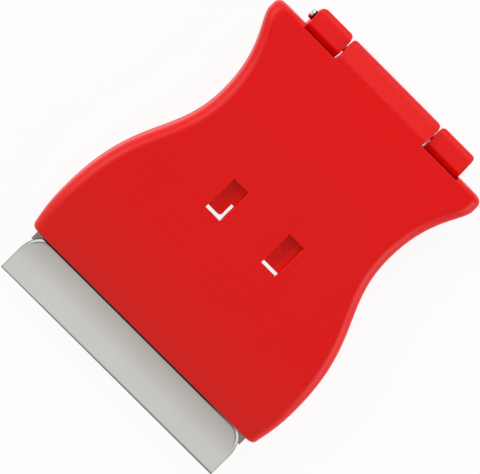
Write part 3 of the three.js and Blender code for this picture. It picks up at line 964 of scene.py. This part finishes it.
def shoulder_shares(tree, place, sizes):
    """How far a place lies across a shoulder, along it and out to its round edge, as shares."""
    from_middle = calculate(tree, "ABSOLUTE", place["X"])
    spans = (
        (from_middle, BLADE_HIGH.x - sizes.shoulder_step, sizes.shoulder_step),
        (place["Y"], EDGE_Y + sizes.side, sizes.shoulder_length),
    )
    shares = []
    for value, start, span in spans:
        past = calculate(tree, "MAXIMUM", calculate(tree, "SUBTRACT", value, start), 0.0)
        shares.append(calculate(tree, "DIVIDE", past, span))
    squares = [calculate(tree, "POWER", value, 2.0) for value in shares]
    outward = calculate(tree, "SQRT", calculate(tree, "ADD", *squares))
    return *shares, outward


def blade_steel(scene):
    """Ground steel with a random cloud, painted shade darkening it towards the mouth, painted shade
    lines at its edges, painted highlights on its shoulders and a painted shadow line at the mouth.
    """
    finish, sizes = scene.scraper_finish, scene.scraper_blade
    material, tree, shader, grain = start_material("ground_blade_steel", BLADE_STRETCH)
    place = place_values(tree)
    mouth = EDGE_Y + scene.scraper_covers.blade_reach
    # Painted shade towards the mouth, with a random cloud added to it.
    painted_lip_shade = ease(tree, place["Y"], EDGE_Y + finish.blade_even, mouth)
    cloud = spread(tree, grain["Mottle"], -BLADE_CLOUD, BLADE_CLOUD)
    shade = calculate(tree, "ADD", painted_lip_shade, cloud)
    metal = mix_colours(tree, shade, finish.blade, finish.blade_cloud_and_painted_shade)
    across, along, outward = shoulder_shares(tree, place, sizes)
    beside = ease(tree, across, 0.0, SHOULDER_START)
    on_shoulder = overlap(tree, beside, ease(tree, along, RIM_START, RIM_FULL))
    rim = 1 - sizes.shoulder_highlight_width / sizes.shoulder_step
    line = finish.line_width / sizes.shoulder_step
    # Painted highlight along the shoulder's round edge.
    bright = overlap(tree, on_shoulder, ease(tree, outward, rim - line / 4, rim))
    metal = mix_colours(tree, bright, metal, finish.blade_painted_highlight)
    # Painted shade: a dark line just inside the shoulder's painted highlight.
    past_start = ease(tree, outward, rim - 2 * line, rim - line)
    before_rim = ease(tree, outward, rim, rim - line / 2)
    groove = overlap(tree, past_start, on_shoulder, before_rim)
    metal = mix_colours(tree, groove, metal, finish.blade_painted_edge_shade)
    # Painted shade: dark lines at the shoulders' outer edge and at the cutting edge.
    border = overlap(tree, beside, ease(tree, outward, 1 - line, 1 - line / 3))
    keen = ease(tree, place["Y"], EDGE_Y + finish.line_width, EDGE_Y + finish.line_width / 2)
    metal = mix_colours(tree, calculate(tree, "MAXIMUM", border, keen), metal, finish.blade_painted_edge_shade)
    # Painted shadow: a dark band on the blade just before the mouth.
    width = finish.mouth_shadow_width
    before_mouth = ease(tree, place["Y"], mouth - width, mouth - width + width / 3)
    fade_start = BLADE_HIGH.x - MOUTH_SHADOW_FADE * sizes.shoulder_step
    fading = ease(tree, place["X"], fade_start, BLADE_HIGH.x, 1.0, MOUTH_SHADOW_LEAST)
    painted_shade_near_mouth = ease(tree, place["Y"], mouth + width, mouth)
    metal = mix_colours(tree, overlap(tree, before_mouth, fading, painted_shade_near_mouth), metal, finish.mouth_painted_shadow)
    shader.inputs["Metallic"].default_value = 1.0
    finish_surface(tree, shader, grain, metal, finish.blade_rough, STEEL_DRIFT, BLADE_BUMP)
    return material


def hollow_cover(form, facing, land):
    """A cover's hollow shell; land is its solid length behind the mouth."""
    blank = crowned_block(form, facing, form.stations(form.lip_at, form.rear_at), form.blank_section)
    inside = form.stations(form.lip_at + land, form.rear_at - form.covers.wall)
    return cut(blank, crowned_block(form, facing, inside, form.hollow_section))


def ribs(form, places, low, high):
    """Ribs along the tool, at shares of the pocket's half width, between two points in (at, z)."""
    half = form.covers.rib / 2
    middles = [place * form.pocket_half for place in places]
    return [block(spot(x - half, *low), spot(x + half, *high)) for x in middles]


class SCRAPER_OT_front_cover(bpy.types.Operator):
    """Front cover with its windows, ledges and middle knuckle"""

    bl_idname = "scraper.front_cover"
    bl_label = "Front cover"

    def execute(self, context):
        form = CoverForm(context.scene)
        hinge = form.hinge
        shell = hollow_cover(form, 1, form.covers.front_land)
        shell = join(shell, *self.ribs_and_ledges(form))
        shell = cut(shell, *self.openings(form))
        ramps = [self.window_ramp(form, side) for side in BOTH_SIDES]
        shell = join(shell, *ramps, self.gap_tab(form))
        rim = [edge for edge in shell.edges if self.is_window_rim(form, edge)]
        round_edges(shell, rim, form.catch.window_round, RIM_STEPS)
        rounds = (hinge.slit_round, hinge.slit_round)
        barrel = draft_ends(form, knuckle(form, 1, -form.tip_half, form.tip_half, rounds, False))
        shell = join(shell, barrel)
        bore = PIN_HIGH.z - HINGE.z + hinge.pin_run
        shell = cut(shell, hinge_rod(bore, -form.outer_inner, form.outer_inner))
        make_piece(shell, "front_cover", "front_half", moulded_plastic(context.scene))
        return {"FINISHED"}

    @staticmethod
    def ribs_and_ledges(form):
        """Ribs over the blade, and a ledge at the rear end of each window."""
        covers, catch = form.covers, form.catch
        roof = form.parting + form.crown_height(form.relief_front_at) - covers.roof / 2
        rib_low = (form.relief_front_at, form.relief_top)
        solids = ribs(form, FRONT_RIBS, rib_low, (form.spine_back_at, roof))
        reach = catch.window_width / 2 + catch.frame_wall
        for side in BOTH_SIDES:
            x = form.window_x(side)
            low = spot(x - reach, form.ledge_front_at, form.ledge_top - catch.ledge_thickness)
            rear_at = form.window_rear_at + catch.frame_wall
            solids.append(block(low, spot(x + reach, rear_at, THICKNESS - covers.roof / 2)))
        return solids

    @staticmethod
    def openings(form):
        """Room for the spine, the windows and, in two steps, the notches for the outer knuckles."""
        catch, hinge = form.catch, form.hinge
        low = spot(-form.pocket_half, form.relief_front_at, 0)
        solids = [block(low, spot(form.pocket_half, form.pocket_back_at, form.relief_top))]
        reach = catch.window_width / 2
        brow_z = HINGE.z + hinge.brow_height
        for side in BOTH_SIDES:
            x = form.window_x(side)
            low = spot(x - reach, catch.window_front_at, form.ledge_top)
            solids.append(block(low, spot(x + reach, form.window_rear_at, THICKNESS + OVERRUN)))
            root_half = form.tip_half - form.middle_draft(side)
            left, right = sorted((side * root_half, side * (form.outer_end(side) + hinge.end_gap)))
            low = spot(left, form.notch_at - hinge.brow, 0)
            solids.append(block(low, spot(right, form.end_at, brow_z)))
            low = spot(left, form.notch_at, brow_z - SINK)
            solids.append(block(low, spot(right, form.end_at, THICKNESS + OVERRUN)))
        return solids

    @staticmethod
    def window_ramp(form, side):
        """A sloped floor behind a hook's nose, which carries the slope of the hook's top on."""
        catch = form.catch
        top = THICKNESS - catch.hook_recess - catch.hook_fall
        start, end = form.nose_at + catch.ramp_gap, form.window_rear_at + catch.frame_wall / 2
        low = form.ledge_top - catch.ledge_thickness / 2
        profile = [
            Vector((start, low)),
            Vector((end, low)),
            Vector((end, top - catch.ramp_fall)),
            Vector((start, top)),
        ]
        reach = catch.window_width / 2 + catch.frame_wall / 2
        return prism(profile, form.window_x(side) - reach, form.window_x(side) + reach)

    @staticmethod
    def gap_tab(form):
        """Carries the left ramp forward beside the narrower hook, level with the hook's nose."""
        catch = form.catch
        left = form.hook_ends(-1)[1] + catch.ramp_gap
        right = form.window_x(-1) + catch.window_width / 2 + catch.frame_wall / 2
        top = THICKNESS - catch.hook_recess - catch.hook_fall
        low = spot(left, form.ledge_front_at, form.ledge_top - catch.ledge_thickness / 2)
        return block(low, spot(right, form.nose_at + catch.ramp_gap + SINK, top))

    @staticmethod
    def is_window_rim(form, edge):
        """True for an edge where a window opens in the face."""
        catch = form.catch
        reach = catch.window_width / 2 + MERGE
        for vert in edge.verts:
            at = vert.co.y - EDGE_Y
            off = abs(abs(vert.co.x) - catch.window_spacing / 2)
            inside = off < reach and catch.window_front_at - MERGE < at < form.window_rear_at + MERGE
            if not inside or vert.co.z < THICKNESS - MERGE:
                return False
        return True


class SCRAPER_OT_rear_cover(bpy.types.Operator):
    """Rear cover with the blade's seat, its tongues and the two outer knuckles"""

    bl_idname = "scraper.rear_cover"
    bl_label = "Rear cover"

    def execute(self, context):
        form = CoverForm(context.scene)
        hinge = form.hinge
        shell = hollow_cover(form, -1, form.covers.seat_land)
        pocket_high = spot(form.pocket_half, form.pocket_back_at, THICKNESS)
        shell = cut(shell, block(spot(-form.pocket_half, 0, form.seat), pocket_high))
        shell = join(shell, *self.seat_and_pads(form, context.scene.scraper_blade.stop))
        room = form.outer_inner + hinge.lean
        notch = block(spot(-room, form.notch_at, -OVERRUN), spot(room, form.end_at, THICKNESS))
        slots = [self.tongue_slot(form, side) for side in BOTH_SIDES]
        shell = cut(shell, notch, *slots)
        rounds = (hinge.left_round, hinge.slit_round)
        left = knuckle(form, -1, -form.outer_end(-1), -form.outer_inner, rounds, True)
        rounds = (hinge.slit_round, hinge.right_round)
        right = knuckle(form, -1, form.outer_inner, form.outer_end(1), rounds, True)
        shell = join(shell, lean_inner_end(form, left), lean_inner_end(form, right))
        bore = PIN_HIGH.z - HINGE.z + hinge.pin_fit
        reach = form.covers.belly_half
        shell = cut(shell, hinge_rod(bore, -reach, reach))
        make_piece(shell, "rear_cover", "rear_half", moulded_plastic(context.scene))
        return {"FINISHED"}

    @staticmethod
    def seat_and_pads(form, stop):
        """Ribs under the blade, the wall that stops it, and a pad under each hook."""
        covers = form.covers
        start = form.lip_at + covers.seat_land / 2
        rib_low = (start, form.parting - form.crown_height(start) + covers.roof / 2)
        solids = ribs(form, SEAT_RIBS, rib_low, (form.pocket_back_at + SINK, form.seat - SINK))
        floor = covers.roof / 2
        top = form.parting - covers.parting_gap / 2 - SINK
        low = spot(-form.pocket_half, form.pocket_back_at, floor)
        solids.append(block(low, spot(form.pocket_half, form.pocket_back_at + stop, top)))
        for side in BOTH_SIDES:
            left, right = form.hook_ends(side)
            low = spot(left, form.hook_front_at, floor)
            solids.append(block(low, spot(right, form.slot_rear_at, form.hook_seat)))
        return solids

    @staticmethod
    def tongue_slot(form, side):
        """A slot on three sides of a tongue, through the floor."""
        catch = form.catch
        reach = catch.window_width / 2
        x = form.window_x(side)
        front = catch.window_front_at - catch.slot_front
        low = spot(x - reach - catch.slot_left, front, -OVERRUN)
        slot = block(low, spot(x + reach + catch.slot_right, form.slot_rear_at, form.parting))
        start, end = form.hook_ends(side)
        low = spot(start, form.hook_front_at, -2 * OVERRUN)
        return cut(slot, block(low, spot(end, form.slot_rear_at + OVERRUN, form.parting + OVERRUN)))


class SCRAPER_OT_snap_hooks(bpy.types.Operator):
    """Two hooks that stand on the rear cover's tongues"""

    bl_idname = "scraper.snap_hooks"
    bl_label = "Snap hooks"

    def execute(self, context):
        form = CoverForm(context.scene)
        catch = form.catch
        top = THICKNESS - catch.hook_recess
        catch_z = form.ledge_top + SINK
        profile = [
            Vector((form.hook_front_at, form.hook_seat)),
            Vector((form.hook_rear_at, form.hook_seat)),
            Vector((form.hook_rear_at, catch_z)),
            Vector((form.nose_at, catch_z)),
            Vector((form.nose_at, top - catch.hook_fall)),
            Vector((form.hook_front_at, top)),
        ]
        for side, name in zip(BOTH_SIDES, ("snap_hook_left", "snap_hook_right")):
            bm = prism(profile, *form.hook_ends(side))
            if side < 0:
                front = EDGE_Y + form.hook_front_at + MERGE
                right = form.hook_ends(side)[1] - MERGE
                at_gap = [v for v in bm.verts if v.co.y < front and v.co.x > right]
                corner = [e for e in bm.edges if all(v in at_gap for v in e.verts)]
                round_edges(bm, corner, catch.hook_corner, HOOK_STEPS)
            make_piece(bm, name, "rear_half", moulded_plastic(context.scene))
        return {"FINISHED"}


class SCRAPER_OT_hinge_pin(bpy.types.Operator):
    """Steel pin with turned, rounded ends"""

    bl_idname = "scraper.hinge_pin"
    bl_label = "Hinge pin"

    def execute(self, context):
        hinge, finish = context.scene.scraper_hinge, context.scene.scraper_finish
        chamfer, dome = hinge.pin_chamfer, hinge.pin_dome
        radius = PIN_HIGH.z - HINGE.z
        bm = bmesh.new()
        outline = [
            (PIN_LOW.x, 0.0),
            (PIN_LOW.x + DOME_RISE * dome, DOME_REACH * radius),
            (PIN_LOW.x + dome, radius - chamfer),
            (PIN_LOW.x + dome + chamfer, radius),
            (PIN_HIGH.x - chamfer, radius),
            (PIN_HIGH.x, radius - chamfer),
            (PIN_HIGH.x, 0.0),
        ]
        chain = [bm.verts.new((x, HINGE.y, HINGE.z + r)) for x, r in outline]
        edges = [bm.edges.new(pair) for pair in zip(chain, chain[1:])]
        bmesh.ops.spin(
            bm,
            geom=chain + edges,
            cent=HINGE,
            axis=(1, 0, 0),
            angle=2 * math.pi,
            steps=PIN_SIDES,
            use_merge=True,
        )
        # Painted shade band on the pin, starting just past its bright end.
        start = PIN_LOW.x + finish.pin_bright
        painted_shade = (finish.pin_painted_shade, start, start + finish.pin_shade_length)
        shades = (finish.pin, finish.pin_dark)
        material = steel("bright_pin_steel", *shades, finish.pin_rough, PIN_STRETCH, painted_shade)
        make_piece(finish_solid(bm), "hinge_pin", "rear_half", material)
        return {"FINISHED"}


class SCRAPER_OT_blade(bpy.types.Operator):
    """Blade with its ground edge and rounded shoulders"""

    bl_idname = "scraper.blade"
    bl_label = "Blade"

    def execute(self, context):
        form = CoverForm(context.scene)
        sizes = context.scene.scraper_blade
        half = BLADE_HIGH.x
        neck = half - sizes.shoulder_step
        # The plan is squeezed along the tool while its shoulders are rounded, which makes them oval.
        squeeze = sizes.shoulder_step / sizes.shoulder_length
        across = (-half, -neck, neck, half)
        along = (0.0, sizes.side + sizes.shoulder_length, form.blade_depth)

        def place(column, row):
            return Vector((across[column], along[row] * squeeze, BLADE_LOW.z))

        bm = bmesh.new()
        grid(bm, len(across), len(along), place)
        neck_y = along[1] * squeeze
        centres = [(face, face.calc_center_median()) for face in bm.faces]
        beside_neck = [face for face, centre in centres if abs(centre.x) > neck and centre.y > neck_y]
        bmesh.ops.delete(bm, geom=beside_neck, context="FACES")
        shoulders = [v for v in bm.verts if abs(v.co.x) > half - MERGE and v.co.y > neck_y - MERGE]
        bmesh.ops.bevel(
            bm,
            geom=shoulders,
            offset=sizes.shoulder_step - MERGE,
            offset_type="OFFSET",
            affect="VERTICES",
            segments=SHOULDER_STEPS,
            profile=0.5,
            material=-1,
        )
        for vert in bm.verts:
            vert.co.y = EDGE_Y + vert.co.y / squeeze
        draw_out(bm, bm.faces[:], (0, 0, form.blade_thickness))
        bmesh.ops.dissolve_limit(bm, angle_limit=FLAT_ANGLE, verts=bm.verts[:], edges=bm.edges[:])
        bmesh.ops.bisect_plane(
            bm,
            geom=bm.verts[:] + bm.edges[:] + bm.faces[:],
            plane_co=(0, EDGE_Y + sizes.grind, 0),
            plane_no=(0, 1, 0),
        )
        middle = BLADE_LOW.z + form.blade_thickness / 2
        for vert in bm.verts:
            if vert.co.y < EDGE_Y + MERGE:
                vert.co.z = middle + math.copysign(sizes.keen / 2, vert.co.z - middle)
        rim = [edge for edge in bm.edges if self.is_upper_rim(edge)]
        round_edges(bm, rim, sizes.shoulder_rim, RIM_STEPS)
        make_piece(bm, "blade", "rear_half", blade_steel(context.scene))
        return {"FINISHED"}

    @staticmethod
    def is_upper_rim(edge):
        """True for a sharp edge of the blade's upper face."""
        if len(edge.link_faces) != 2 or edge.calc_face_angle() < RIM_ANGLE:
            return False
        return all(vert.co.z > BLADE_HIGH.z - MERGE for vert in edge.verts)


class SCRAPER_OT_blade_spine(bpy.types.Operator):
    """Folded steel spine on the back of the blade"""

    bl_idname = "scraper.blade_spine"
    bl_label = "Blade spine"

    def execute(self, context):
        form = CoverForm(context.scene)
        sizes = context.scene.scraper_blade
        finish = context.scene.scraper_finish
        low, high = form.seat, form.spine_top
        fold = (high - low) / 2
        fold_centre = Vector((form.spine_back_at - fold, (low + high) / 2))
        upper_at = form.spine_back_at - sizes.upper_leaf
        profile = [Vector((sizes.spine_front_at, low))]
        profile += arc(fold_centre, fold, -math.pi / 2, math.pi / 2, FOLD_STEPS)
        profile += [
            Vector((upper_at, high)),
            Vector((upper_at, form.parting)),
            Vector((form.blade_depth, form.parting)),
            Vector((form.blade_depth, low + sizes.leaf)),
            Vector((sizes.spine_front_at, low + sizes.leaf)),
        ]
        bm = prism(profile, -sizes.spine_half, sizes.spine_half)
        front = EDGE_Y + sizes.spine_front_at + MERGE
        corners = [e for e in bm.edges if all(v.co.y < front for v in e.verts)]
        round_edges(bm, corners, sizes.spine_corner, SPINE_STEPS)
        shades = (finish.spine, finish.spine_dark)
        material = steel("rolled_spine_steel", *shades, finish.spine_rough, SPINE_STRETCH)
        make_piece(bm, "blade_spine", "rear_half", material)
        return {"FINISHED"}


class SCRAPER_OT_stage(bpy.types.Operator):
    """Pale floor, soft lights and the camera"""

    bl_idname = "scraper.stage"
    bl_label = "Stage"

    def execute(self, context):
        scene = context.scene
        scene.view_settings.view_transform = "Standard"
        self.add_floor(scene)
        self.add_world(scene)
        for lamp in LAMPS:
            self.add_lamp(scene, *lamp)
        self.add_camera(scene)
        return {"FINISHED"}

    @staticmethod
    def add_floor(scene):
        bm = bmesh.new()
        bmesh.ops.create_grid(bm, x_segments=2, y_segments=2, size=FLOOR_HALF)
        bmesh.ops.translate(bm, verts=bm.verts[:], vec=(0, 0, -FLOOR_DROP))
        mesh = bpy.data.meshes.new("floor")
        bm.to_mesh(mesh)
        bm.free()
        material = bpy.data.materials.new("pale_floor")
        material.use_nodes = True
        tree = material.node_tree
        shader = tree.nodes["Principled BSDF"]
        shader.inputs["Base Color"].default_value = (*scene.scraper_finish.floor, 1.0)
        shader.inputs["Roughness"].default_value = FLOOR_ROUGH
        shader.inputs["Specular IOR Level"].default_value = 0.0
        glow = tree.nodes.new("ShaderNodeEmission")
        glow.inputs["Strength"].default_value = 1.0
        path = tree.nodes.new("ShaderNodeLightPath")
        level = path.outputs["Is Camera Ray"]
        for ray in ("Is Glossy Ray", "Is Transmission Ray"):
            level = calculate(tree, "MAXIMUM", level, path.outputs[ray])
        mix = tree.nodes.new("ShaderNodeMixShader")
        link(tree, calculate(tree, "MULTIPLY", level, FLOOR_GLOW), mix.inputs["Fac"])
        link(tree, shader.outputs[0], mix.inputs[1])
        link(tree, glow.outputs[0], mix.inputs[2])
        link(tree, mix.outputs[0], tree.nodes["Material Output"].inputs["Surface"])
        mesh.materials.append(material)
        floor = bpy.data.objects.new("floor", mesh)
        scene.collection.objects.link(floor)

    @staticmethod
    def add_world(scene):
        world = bpy.data.worlds.new("studio")
        world.use_nodes = True
        scene.world = world
        sky = world.node_tree.nodes["Background"]
        sky.inputs["Color"].default_value = (1.0, 1.0, 1.0, 1.0)
        sky.inputs["Strength"].default_value = SKY_STRENGTH

    @staticmethod
    def add_lamp(scene, name, place, size, power):
        data = bpy.data.lights.new(name, "AREA")
        data.shape = "SQUARE"
        data.size = size
        data.energy = power
        lamp = bpy.data.objects.new(name, data)
        lamp.location = place
        lamp.rotation_euler = Vector(place).to_track_quat("Z", "Y").to_euler()
        scene.collection.objects.link(lamp)

    @staticmethod
    def add_camera(scene):
        distance = 600 * MM
        pixels_per_metre = 7.6906 / MM
        aim = Vector((-0.158, -2.078, 3.75)) * MM
        tilt_across = math.radians(-5.52)
        tilt_along = math.radians(4.094)
        roll = math.radians(45.091)
        back = Vector((math.tan(tilt_across), math.tan(tilt_along), 1)).normalized()
        right = Vector((math.cos(roll), math.sin(roll), 0))
        right = (right - back * right.dot(back)).normalized()
        up = back.cross(right)
        data = bpy.data.cameras.new("camera")
        data.sensor_fit = "HORIZONTAL"
        data.sensor_width = SENSOR_WIDTH
        data.lens = pixels_per_metre * distance * SENSOR_WIDTH / IMAGE_WIDTH
        data.clip_start = CLIP_START
        camera = bpy.data.objects.new("camera", data)
        turn = Matrix((right, up, back)).transposed()
        camera.matrix_world = Matrix.Translation(aim + back * distance) @ turn.to_4x4()
        scene.collection.objects.link(camera)
        scene.camera = camera


class SCRAPER_PT_panel(bpy.types.Panel):
    """Lists the pieces of the scraper"""

    bl_idname = "SCRAPER_PT_panel"
    bl_label = "Paint Scraper"
    bl_space_type = "VIEW_3D"
    bl_region_type = "UI"
    bl_category = "Scraper"

    def draw(self, context):
        for operator in OPERATORS:
            self.layout.operator(operator.bl_idname)
        for name in GROUPS:
            group = getattr(context.scene, name)
            box = self.layout.box()
            for key in group.bl_rna.properties.keys():
                if key not in {"rna_type", "name"}:
                    box.prop(group, key)


GROUPS = {
    "scraper_covers": ScraperCovers,
    "scraper_hinge": ScraperHinge,
    "scraper_catch": ScraperCatch,
    "scraper_blade": ScraperBlade,
    "scraper_finish": ScraperFinish,
}
OPERATORS = (
    SCRAPER_OT_stage,
    SCRAPER_OT_front_cover,
    SCRAPER_OT_rear_cover,
    SCRAPER_OT_snap_hooks,
    SCRAPER_OT_hinge_pin,
    SCRAPER_OT_blade,
    SCRAPER_OT_blade_spine,
)


def register():
    for cls in (*GROUPS.values(), *OPERATORS, SCRAPER_PT_panel):
        bpy.utils.register_class(cls)
    for name, group in GROUPS.items():
        setattr(bpy.types.Scene, name, bpy.props.PointerProperty(type=group))


def unregister():
    for name in GROUPS:
        delattr(bpy.types.Scene, name)
    for cls in (SCRAPER_PT_panel, *reversed(OPERATORS), *reversed(GROUPS.values())):
        bpy.utils.unregister_class(cls)


def main():
    register()
    bpy.ops.scraper.stage()
    bpy.ops.scraper.front_cover()
    bpy.ops.scraper.rear_cover()
    bpy.ops.scraper.snap_hooks()
    bpy.ops.scraper.hinge_pin()
    bpy.ops.scraper.blade()
    bpy.ops.scraper.blade_spine()


if __name__ == "__main__":
    main()
